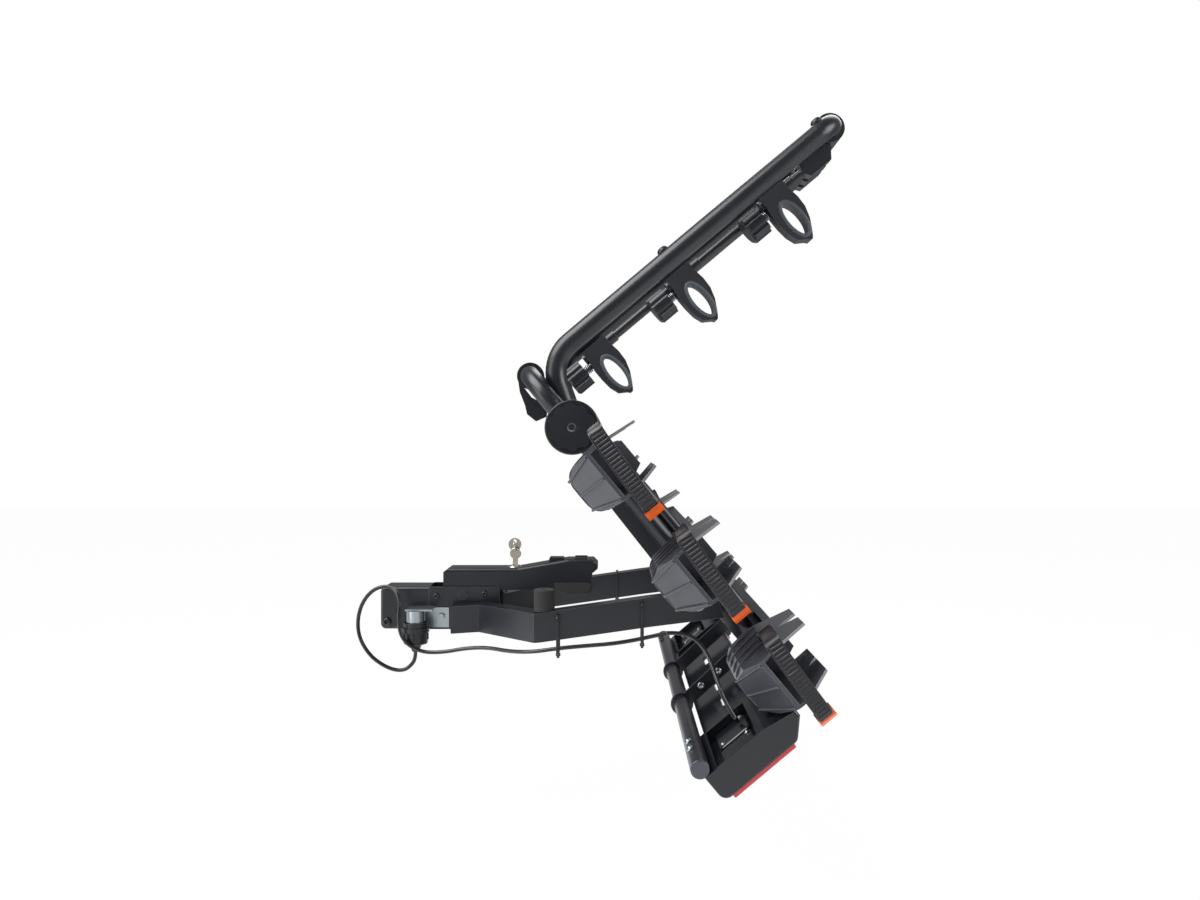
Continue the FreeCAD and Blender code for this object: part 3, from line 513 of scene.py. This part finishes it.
@dataclass
class Straps:
    """Six ribbed ratchet straps, each on edge round a cradle's outboard end."""

    rows: tuple[float, ...] = (95.0, 285.0, 475.0)
    span: float = 70.0
    out: float = 525.0
    low: float = 8.0
    width: float = 24.0
    thick: float = 3.0
    rib_pitch: float = 6.0
    rib_depth: float = 0.9
    rise: float = 11.0

    def middle(self, u: float, side: int) -> np.ndarray:
        """Outlines the strap from above: from the cradle, round its end and back."""
        hold = 44 + self.thick / 2
        line = [(-4 - hold, self.out - 138), (-4 - hold, self.out - 104),
                (-self.span, self.out - 76), (-self.span, self.out - 14),
                (14 - self.span, self.out), (self.span - 14, self.out),
                (self.span, self.out - 14), (self.span, self.out - 76),
                (hold - 4, self.out - 104), (hold - 4, self.out - 138)]
        height = self.low + self.width / 2
        flat = np.array([(u + 4 + x, side * y, height + self.rise * min(x / self.span, 0) ** 2)
                         for x, y in line])
        return softened(flat, 2)

    def build(self) -> None:
        """Makes each strap: a slab whose outer face rises and falls with the ribs."""
        for row, u in enumerate(self.rows, 1):
            for name, side in SIDES:
                path = self.middle(u, side)
                length = np.linalg.norm(np.diff(path, axis=0), axis=1).sum()
                count = int(length / self.rib_pitch) * 6
                path = evenly(path, count)
                wave = np.tile([0.0, 1.0, 1.0, 1.0, 1.0, 0.0], count // 6)
                half, tall = self.thick / 2, self.width / 2 - 0.2
                outer = -side * (half - self.rib_depth * wave)
                inner = np.full(count, side * half * 0.9)
                edge = side * (half * 0.2)
                zero = np.zeros(count)
                profile = np.stack([
                    np.stack([outer, zero - tall + 3], -1), np.stack([outer, zero + tall - 3], -1),
                    np.stack([zero - side * half * 0.9, zero + tall - 2.4], -1),
                    np.stack([zero - side * half * 0.9, zero + tall - 0.5], -1),
                    np.stack([zero + edge, zero + tall], -1),
                    np.stack([inner, zero + tall - 0.6], -1),
                    np.stack([inner, zero - tall + 0.6], -1),
                    np.stack([zero + edge, zero - tall], -1),
                    np.stack([zero - side * half * 0.9, zero - tall + 0.5], -1),
                    np.stack([zero - side * half * 0.9, zero - tall + 2.4], -1)], axis=1)
                grid = carried(profile, path, np.array([0.0, 0.0, 1.0]))
                piece = shell(f"ribbed_strap_{row}_{name}", TILTED.world(grid))
                crisp(piece, 30)
                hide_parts(f"strap_{row}_{name}")
                finish_piece(piece, STRAP, "platform")


@dataclass
class ClawLinings:
    """The grey rubber rings that line the three pairs of jaws, and the springs below them."""

    places: tuple[tuple[float, float], ...] = ((44.0, 130.0), (0.0, 338.0), (-44.0, 560.0))
    centre_u: float = -34.0
    half_long: float = 41.7
    half_short: float = 19.7
    band: float = 7.0
    half_wide: float = 19.5
    bolt_u: float = -73.0
    spring_r: float = 8.0
    wire_r: float = 1.1

    def ring(self, y: float, w: float) -> np.ndarray:
        """Works out an oval ring.

        Args:
            y: The holder's place across.
            w: The jaws' height.

        Returns:
            A grid: round the oval, and round a rounded-rectangle section that keeps to it.
        """
        turn = np.linspace(0, 2 * np.pi, 72, endpoint=False)
        half = self.band / 2
        long, short = self.half_long - half, self.half_short - half
        path = np.stack([self.centre_u + long * np.cos(turn), np.full(72, y),
                         w + short * np.sin(turn)], axis=-1)
        section = rounded_rectangle(self.band, 2 * self.half_wide, 2.4)
        return carried(section, path, np.array([0.0, 1.0, 0.0]), loop=True)

    def spring(self, y: float, w: float) -> np.ndarray:
        """Works out a short coil: a circle that climbs evenly, carrying round wire."""
        turns, steps = 3.5, 84
        a = np.linspace(0, 2 * np.pi * turns, steps)
        low = w - 30 - 13
        path = np.stack([self.bolt_u + self.spring_r * np.cos(a),
                         y + self.spring_r * np.sin(a), low + 12 * a / a[-1]], axis=-1)
        ring = np.linspace(0, 2 * np.pi, 8, endpoint=False)
        section = np.stack([self.wire_r * np.cos(ring), self.wire_r * np.sin(ring)], axis=-1)
        return carried(section, path, np.array([0.0, 0.0, 1.0]))

    def build(self) -> None:
        """Makes each ring and spring, riding with its jaws."""
        for i, (y, w) in enumerate(self.places, 1):
            ring = shell(f"jaw_lining_{i}", TILTED.world(self.ring(y, w)), (True, True))
            finish_piece(ring, GREY_RUBBER, f"claw_{i}")
            coil = shell(f"grip_spring_{i}", TILTED.world(self.spring(y, w)))
            finish_piece(coil, ZINC, f"claw_{i}")


@dataclass
class Cables:
    """The lighting cable round its loop and along the near arm, and on to the near lamp."""

    radius: float = 3.5
    loop: list[tuple[float, float, float]] = field(default_factory=lambda: [
        (28, -66, -42), (28, -66, -56), (24, -68, -70), (6, -70, -84), (-24, -70, -78),
        (-58, -69, -54), (-80, -66, -14), (-76, -63, 34), (-50, -62, 68), (-14, -64, 72),
        (2, -78, 50), (0, -86, 12), (8, -92, -22), (40, -92, -44), (82, -96, -44),
        (126, -106, -34), (168, -128, -28), (210, -162, -28), (252, -194, -22),
        (296, -202, -14), (344, -200, -10), (392, -202, -6), (440, -200, 2), (480, -203, 12)])
    board: list[tuple[float, float, float]] = field(default_factory=lambda: [
        (480, -203, 12), (510, -206, 14), (536, -212, 0), (552, -230, -26),
        (562, -260, -58), (569, -300, -80), (582, -342, -96)])

    def curve(self, name: str, points: list[tuple[float, float, float]],
              bevel: float) -> bpy.types.Object:
        """Makes a round cable whose control points are the route's points."""
        data = bpy.data.curves.new(name, "CURVE")
        data.dimensions = "3D"
        data.bevel_depth = bevel
        data.bevel_resolution = 5
        data.resolution_u = 12
        data.use_fill_caps = True
        line = data.splines.new("NURBS")
        line.points.add(len(points) - 1)
        flat = np.column_stack([level(np.array(points)), np.ones(len(points))])
        line.points.foreach_set("co", flat.ravel())
        line.order_u = 3
        line.use_endpoint_u = True
        piece = bpy.data.objects.new(name, data)
        bpy.context.scene.collection.objects.link(piece)
        return piece

    def length(self, points: list[tuple[float, float, float]]) -> float:
        """Measures the smooth line through a route, in metres."""
        return float(np.linalg.norm(np.diff(self.smooth(points), axis=0), axis=1).sum())

    def smooth(self, points: list[tuple[float, float, float]]) -> np.ndarray:
        """Reads evenly spaced points from the route's own spline."""
        bare = self.curve("bare_line", points, 0.0)
        mesh = bpy.data.meshes.new_from_object(bare)
        line = np.empty(len(mesh.vertices) * 3)
        mesh.vertices.foreach_get("co", line)
        data = bare.data
        bpy.data.objects.remove(bare)
        bpy.data.curves.remove(data)
        bpy.data.meshes.remove(mesh)
        return line.reshape(-1, 3)

    def build(self) -> None:
        first = self.curve("lighting_cable", self.loop, self.radius * MM)
        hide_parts("loop_cable")
        finish_piece(first, JACKET, "hitch_frame")
        self.length(self.loop)
        path = self.smooth(self.board)
        ring = np.linspace(0, 2 * np.pi, 12, endpoint=False)
        section = self.radius * MM * np.stack([np.cos(ring), np.sin(ring)], axis=-1)
        grid = carried(section, evenly(path, 90), np.array([0.0, 1.0, 0.3]))
        second = shell("board_lead", grid)
        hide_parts("board_cable")
        second.data.materials.append(JACKET.build())
        self.length(self.board)
        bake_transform(second)


def slab(name: str, outline: np.ndarray, thick: float, bevel: float,
         place: Callable[[np.ndarray], np.ndarray]) -> bpy.types.Object:
    """Makes a plate from a flat outline, with its two edges bevelled.

    Args:
        name: The piece's name.
        outline: Points by two, in millimetres about the plate's middle.
        thick: Thickness, in millimetres.
        bevel: Width of the bevel, in millimetres.
        place: Takes points of outline and height to metres.

    Returns:
        Four sections of the outline, the first and last drawn in by the bevel.
    """
    reach = np.abs(outline).max(axis=0)
    drawn = outline * (1 - bevel / reach)
    heights = np.array([0, bevel, thick - bevel, thick])
    rings = np.stack([drawn, outline, outline, drawn])
    tall = np.broadcast_to(heights[:, None, None], rings.shape[:2] + (1,))
    return crisp(shell(name, place(np.concatenate([rings, tall], axis=-1))))


@dataclass
class CableTies:
    """The nylon ties that hold the cable to the near arm, and one on the far arm."""

    places: tuple[tuple[float, float, float, float, float], ...] = (
        (296.0, -186.0, 8.0, 44.0, 66.0), (440.0, -186.0, 27.0, 44.0, 70.0),
        (400.0, 180.0, 38.6, 36.0, 56.0), (176.0, 78.0, 13.0, 52.0, 62.0))
    width: float = 4.8
    thick: float = 1.4

    def tie(self, x: float, y: float, z: float, wide: float, tall: float) -> np.ndarray:
        """Works out the band: a rounded rectangle about the arm, carrying a flat strip."""
        round_it = rounded_rectangle(wide, tall, 6.0, 6)
        path = np.column_stack([np.full(len(round_it), x), round_it[:, 0] + y,
                                round_it[:, 1] + z])
        path = evenly(np.concatenate([path, path[:1]]), 73)[:-1]
        strip = rounded_rectangle(self.thick, self.width, 0.5, 2)
        return carried(strip, path, np.array([1.0, 0.0, 0.0]), loop=True)

    def build(self) -> None:
        """Makes each tie with its square head and its cut tail."""
        for i, (x, y, z, wide, tall) in enumerate(self.places, 1):
            band = shell(f"tie_band_{i}", level(self.tie(x, y, z, wide, tall)), (True, True))
            low = z - tall / 2
            head = slab(f"tie_head_{i}", rounded_rectangle(8.0, 7.0, 1.2), 5.0, 0.8,
                        lambda p: level(np.stack([x + p[..., 0], y + p[..., 1],
                                                  low - 5.5 + p[..., 2]], -1)))
            tail = slab(f"tie_tail_{i}", rounded_rectangle(4.6, 1.3, 0.4), 8.0, 0.3,
                        lambda p: level(np.stack([x + p[..., 0], y + p[..., 1],
                                                  low - 9 + p[..., 2]], -1)))
            tie = merge(f"cable_tie_{i}", [band, head, tail])
            finish_piece(crisp(tie), NYLON, "hitch_frame")


@dataclass
class CradleRibs:
    """Ribs round the outside of each wheel cradle, and the pale rib along its floor."""

    rows: tuple[float, ...] = (95.0, 285.0, 475.0)
    stations: tuple[float, ...] = (326.0, 362.0, 398.0, 430.0)
    depth: float = 3.4
    thick: float = 3.0
    floor_w: float = -34.0

    def rib(self, u: float, y: float) -> np.ndarray:
        """Works out one rib: a square section carried round the trough's outer wall."""
        out = self.depth / 2 - 0.3
        line = np.array([(-44 - out, y, 20), (-40 - out, y, -30), (-28 - out, y, -47 - out),
                         (0, y, -48 - out), (28 + out, y, -47 - out), (40 + out, y, -30),
                         (44 + out, y, 20)], dtype=float) + np.array([u, 0, 0])
        path = evenly(softened(line, 2), 40)
        section = rounded_rectangle(self.depth, self.thick, 0.7, 2)
        return carried(section, path, np.array([0.0, 1.0, 0.0]))

    def keel(self, u: float, side: int) -> np.ndarray:
        """Works out the low rounded rib along the floor: half an ellipse, carried straight."""
        path = np.array([(u, side * y, self.floor_w) for y in (308.0, 366.0, 424.0)])
        turn = np.linspace(0, 2 * np.pi, 16, endpoint=False)
        section = np.stack([5 * np.cos(turn), 3 * np.sin(turn)], axis=-1)
        return carried(section, evenly(path, 12), np.array([0.0, 0.0, 1.0]))

    def ridge(self, u: float, side: int, low: float, high: float) -> np.ndarray:
        """Works out a ridge up the rising end: it starts at the floor and meets the rim."""
        ends = np.array([(low, 436.0, -48.5), (low, 442.0, -46.0), (high, 496.0, -8.0),
                         (high, 498.5, -5.0)])
        path = evenly(softened(ends * [1, side, 1] + [u, 0, 0], 2), 24)
        return carried(rounded_rectangle(5.0, 4.0, 1.4, 3), path, np.array([1.0, 0.0, 0.0]))

    def build(self) -> None:
        """Makes the ribs of all six cradles."""
        for row, u in enumerate(self.rows, 1):
            for name, side in SIDES:
                ribs = [shell(f"rib_{k}", TILTED.world(self.rib(u, side * y)))
                        for k, y in enumerate(self.stations)]
                ribs.append(shell("keel", TILTED.world(self.keel(u, side))))
                for low, high in ((0.0, 0.0), (-27.0, -38.0), (27.0, 38.0)):
                    ribs.append(shell("ridge", TILTED.world(self.ridge(u, side, low, high))))
                piece = merge(f"cradle_ribs_{row}_{name}", ribs)
                finish_piece(crisp(piece), CUP_GREY, "platform")


@dataclass
class LampFittings:
    """What is in the lamps: bulb-holder plates and their screws."""

    back_u: float = 515.0
    floor_u: float = 535.0
    middle_w: float = -109.0
    plate: tuple[float, float] = (68.0, 58.0)
    plates_y: tuple[float, float] = (348.0, 427.0)

    def build(self) -> None:
        """Makes the fittings of both lamps."""
        for name, side in SIDES:
            for k, y in enumerate(self.plates_y, 1):
                outline = rounded_rectangle(*self.plate, 6.0)
                piece = slab(f"lamp_plate_{k}_{name}", outline, 9.0, 1.5,
                             lambda p: TILTED.world(np.stack(
                                 [self.floor_u - 9 + p[..., 2], side * y + p[..., 0],
                                  self.middle_w + p[..., 1]], -1)))
                finish_piece(piece, ABS_DARK, "platform")
                spots = [(y - 26, self.middle_w + 21), (y + 26, self.middle_w - 21)]
                heads = [screw_head("head", TILTED.world(np.array([self.floor_u - 9, side * a, b])),
                                    -TILTED.u, 4.2, 2.4) for a, b in spots]
                finish_piece(merge(f"lamp_screws_{k}_{name}", heads), ZINC, "platform")


@dataclass
class Fasteners:
    """Screws and bolts on the board's tube, the brackets and the coupling, and washers under the knobs.
    """

    tube_u: float = 501.0
    tube_w: float = -167.0

    def build(self) -> None:
        """Makes each group of screws and lets it ride with what it holds."""
        spots = [(-415.0, ZINC), (-380.0, ZINC), (380.0, POWDER), (415.0, POWDER)]
        for i, (y, finish) in enumerate(spots, 1):
            base = TILTED.world(np.array([self.tube_u - 14.0, y, self.tube_w]))
            head = screw_head(f"board_screw_{i}", base + 0.0002 * TILTED.u, -TILTED.u, 6.0, 4.0)
            finish_piece(head, finish, "platform")
        for name, side in SIDES:
            across = np.array([0.0, side, 0.0])
            base = TILTED.world(np.array([0.0, side * 190.6, 0.0]))
            washer = shell(f"knob_washer_{name}", turned(
                MM * np.array([(5.7, -5.9), (8.6, -5.9), (8.8, -5.2), (8.6, -4.6), (5.7, -4.6)]),
                base, across, 28), (True, False), False)
            finish_piece(washer, ZINC, f"hinge_knob_{name}")
            for k, w in enumerate((-20.0, -60.0, -100.0), 1):
                seat = TILTED.world(np.array([497.0, side * 125.0, w - 20]))
                head = screw_head(f"bracket_bolt_{k}_{name}", seat, across, 6.5, 4.5)
                finish_piece(head, ZINC, "platform")
        for i, (x, z, r) in enumerate(((-32.0, 0.0, 8.0), (150.0, 52.0, 5.5), (60.0, 48.0, 5.5)), 1):
            for name, side in SIDES:
                seat = level(np.array([x, side * 32.0, z]))
                head = screw_head(f"coupling_bolt_{i}_{name}", seat,
                                  np.array([0.0, side, 0.0]), r, 5.0)
                finish_piece(head, POWDER, "hitch_frame")


@dataclass
class LeverTrim:
    """The lever's small parts: a ring round the lock, two ridges, a key ring and a spare key."""

    lock: tuple[float, float] = (205.0, -10.0)
    top: float = 99.4
    key_top: float = 148.4

    def ring(self, centre: np.ndarray, radius: float, wire: float,
             normal: np.ndarray) -> np.ndarray:
        """Works out a wire ring: a circle carrying a round section."""
        turn = np.linspace(0, 2 * np.pi, 40, endpoint=False)
        other = np.array([0.0, 0.0, 1.0]) if abs(normal[2]) < 0.9 else np.array([1.0, 0, 0])
        a = np.cross(normal, other)
        a /= np.linalg.norm(a)
        b = np.cross(normal, a)
        path = centre + radius * (np.cos(turn)[:, None] * a + np.sin(turn)[:, None] * b)
        around = np.linspace(0, 2 * np.pi, 10, endpoint=False)
        section = wire * np.stack([np.cos(around), np.sin(around)], axis=-1)
        return carried(section, path, normal, loop=True)

    def spare_key(self) -> bpy.types.Object:
        """Makes the second key: a round bow, and a stepped blade that hangs from the ring."""
        x, y = self.lock
        bow_z, front = self.key_top - 22.0, y - 9.0
        turn = np.linspace(0, 2 * np.pi, 36, endpoint=False)
        disc = 10.5 * np.stack([np.cos(turn), np.sin(turn)], axis=-1)
        bow = slab("bow", disc, 2.2, 0.5,
                   lambda p: level(np.stack([x + 2 + p[..., 0], front + p[..., 2],
                                             bow_z + p[..., 1]], -1)))
        blade = slab("blade", rounded_rectangle(7.0, 24.0, 1.5), 1.8, 0.4,
                     lambda p: level(np.stack([x + 3 + p[..., 0], front + 0.2 + p[..., 2],
                                               bow_z - 20 + p[..., 1]], -1)))
        return merge("spare_key", [bow, blade])

    def build(self) -> None:
        """Makes the trim, riding with the lever or the lock."""
        x, y = self.lock
        rim = MM * np.array([(9.3, 0), (13.0, 0), (13.2, 0.8), (12.4, 2.0), (9.8, 2.0), (9.3, 1.4)])
        collar = shell("lock_collar", turned(rim, level(np.array([x, y, self.top])),
                                             np.array([0.0, 0.0, 1.0]), 36), (True, True), False)
        finish_piece(crisp(collar), ZINC, "lever")
        loop = self.ring(np.array([x + 1, y - 5.0, self.key_top - 8.5]), 9.5, 0.9,
                         np.array([0.94, 0.0, 0.34]))
        finish_piece(shell("key_ring", level(loop), (True, True)), NICKEL, "lock_key")
        finish_piece(crisp(self.spare_key()), NICKEL, "lock_key")
        for k, offset in enumerate((-18.0, 18.0), 1):
            outline = rounded_rectangle(24.0, 5.0, 2.0)
            bar = slab(f"lever_ridge_{k}", outline, 2.4, 0.6,
                       lambda p: level(np.stack([330 + p[..., 0], offset + p[..., 1],
                                                 115.8 + p[..., 2]], -1)))
            finish_piece(bar, NYLON, "lever")


@dataclass
class HoopLugs:
    """Two small moulded clips on the outside of the hoop's near leg."""

    places: tuple[float, ...] = (329.0, 690.0)
    hoop_u: float = -121.0
    hoop_y: float = -102.0
    hoop_r: float = 19.25

    def build(self) -> None:
        """Makes each clip: a low rounded pad that stands on the tube."""
        for i, w in enumerate(self.places, 1):
            profile = MM * np.array([(0, 0), (11, 0), (11.5, 2), (10.5, 6), (7, 9), (3, 9.6), (0, 9.7)])
            base = TILTED.world(np.array([self.hoop_u - self.hoop_r + 2.0, self.hoop_y + 4, w]))
            clip = shell(f"hoop_clip_{i}", turned(profile, base, -TILTED.u, 28), caps=False)
            finish_piece(clip, NYLON, "hoop")


@dataclass
class Studio:
    """The pale floor, the soft lamps and the camera at the object's side."""

    eye: tuple[float, float, float] = (0.385, -1.872, 0.340)
    lens: float = 29.49
    shift: tuple[float, float] = (-0.00833, -0.00833)
    drop: float = 0.16

    def camera(self) -> None:
        """Sets the camera, level and square to the object's side."""
        data = bpy.data.cameras.new("side_camera")
        data.lens = self.lens
        data.sensor_width = 36.0
        data.shift_x, data.shift_y = self.shift
        data.clip_end = 100.0
        eye = bpy.data.objects.new("side_camera", data)
        eye.location = self.eye
        eye.rotation_euler = (np.pi / 2, 0.0, 0.0)
        bpy.context.scene.collection.objects.link(eye)
        bpy.context.scene.camera = eye

    def lamp(self, name: str, place: tuple[float, float, float], size: float,
             power: float) -> None:
        """Adds one square soft lamp that looks at the object's middle."""
        data = bpy.data.lights.new(name, "AREA")
        data.size = size
        data.energy = power
        lamp = bpy.data.objects.new(name, data)
        target = np.array([0.385, 0.0, 0.3])
        away = np.array(place) - target
        lamp.location = place
        flat = np.hypot(away[0], away[1])
        lamp.rotation_euler = (np.arctan2(flat, away[2]), 0.0,
                               np.arctan2(away[0], -away[1]))
        bpy.context.scene.collection.objects.link(lamp)

    def floor(self) -> None:
        """Lays the pale floor below the object; the camera sees it nearly white."""
        z = CAD_BOX[0][2] - self.drop
        grid = np.array([[(-8, -8, z), (8, -8, z)], [(-8, 8, z), (8, 8, z)]], dtype=float)
        floor = shell("floor", grid, (False, False), caps=False)
        if floor.data.polygons[0].normal.z < 0:
            floor.data.flip_normals()
        material = bpy.data.materials.new("pale_floor")
        material.use_nodes = True
        tree = material.node_tree
        tree.nodes.clear()
        out = add(tree, "ShaderNodeOutputMaterial")
        matt = add(tree, "ShaderNodeBsdfPrincipled",
                   {"Base Color": linear("e8e8ea"), "Roughness": 0.8})
        glow = add(tree, "ShaderNodeEmission", {"Color": (1, 1, 1, 1), "Strength": 1.0})
        rays = add(tree, "ShaderNodeLightPath")
        share = add(tree, "ShaderNodeMath", {"operation": "MULTIPLY"},
                    {"#0": rays.outputs["Is Camera Ray"]})
        share.inputs[1].default_value = 0.98
        mix = add(tree, "ShaderNodeMixShader", {},
                  {"#0": share.outputs[0], "#1": matt.outputs[0], "#2": glow.outputs[0]})
        tree.links.new(mix.outputs[0], out.inputs["Surface"])
        floor.data.materials.append(material)

    def world(self) -> None:
        """Sets a soft even sky that the camera sees as white."""
        world = bpy.data.worlds.new("studio")
        world.use_nodes = True
        tree = world.node_tree
        tree.nodes.clear()
        out = add(tree, "ShaderNodeOutputWorld")
        soft = add(tree, "ShaderNodeBackground", {"Color": (1, 1, 1, 1), "Strength": 0.24})
        white = add(tree, "ShaderNodeBackground", {"Color": (1, 1, 1, 1), "Strength": 1.0})
        rays = add(tree, "ShaderNodeLightPath")
        mix = add(tree, "ShaderNodeMixShader", {},
                  {"#0": rays.outputs["Is Camera Ray"], "#1": soft.outputs[0],
                   "#2": white.outputs[0]})
        tree.links.new(mix.outputs[0], out.inputs["Surface"])
        bpy.context.scene.world = world

    def build(self) -> None:
        """Makes the studio."""
        self.floor()
        self.world()
        self.lamp("key_lamp", (-1.4, -0.8, 2.5), 2.4, 125.0)
        self.lamp("fill_lamp", (2.9, -1.3, 1.3), 1.8, 60.0)
        self.lamp("rim_lamp", (1.2, 1.8, 2.4), 2.0, 46.0)
        self.lamp("low_lamp", (-2.2, -1.2, 0.5), 1.6, 24.0)
        bpy.context.scene.view_settings.view_transform = "Standard"


def dress_frame() -> None:
    """Gives every shown CAD node the finish of its make."""
    for node in frame["nodes"]:
        finish = finish_of(node)
        if finish is None:
            continue
        mesh = bpy.data.objects[node].data
        mesh.materials.clear()
        mesh.materials.append(finish.build())


def main() -> None:
    """Builds the camera, the cables, the looks of every piece and the studio, in order."""
    studio = Studio()
    studio.camera()
    Cables().build()
    dress_frame()
    Straps().build()
    ClawLinings().build()
    CableTies().build()
    CradleRibs().build()
    LampFittings().build()
    Fasteners().build()
    LeverTrim().build()
    HoopLugs().build()
    studio.build()


if __name__ == "__main__":
    logging.basicConfig(level=logging.INFO)
    main()
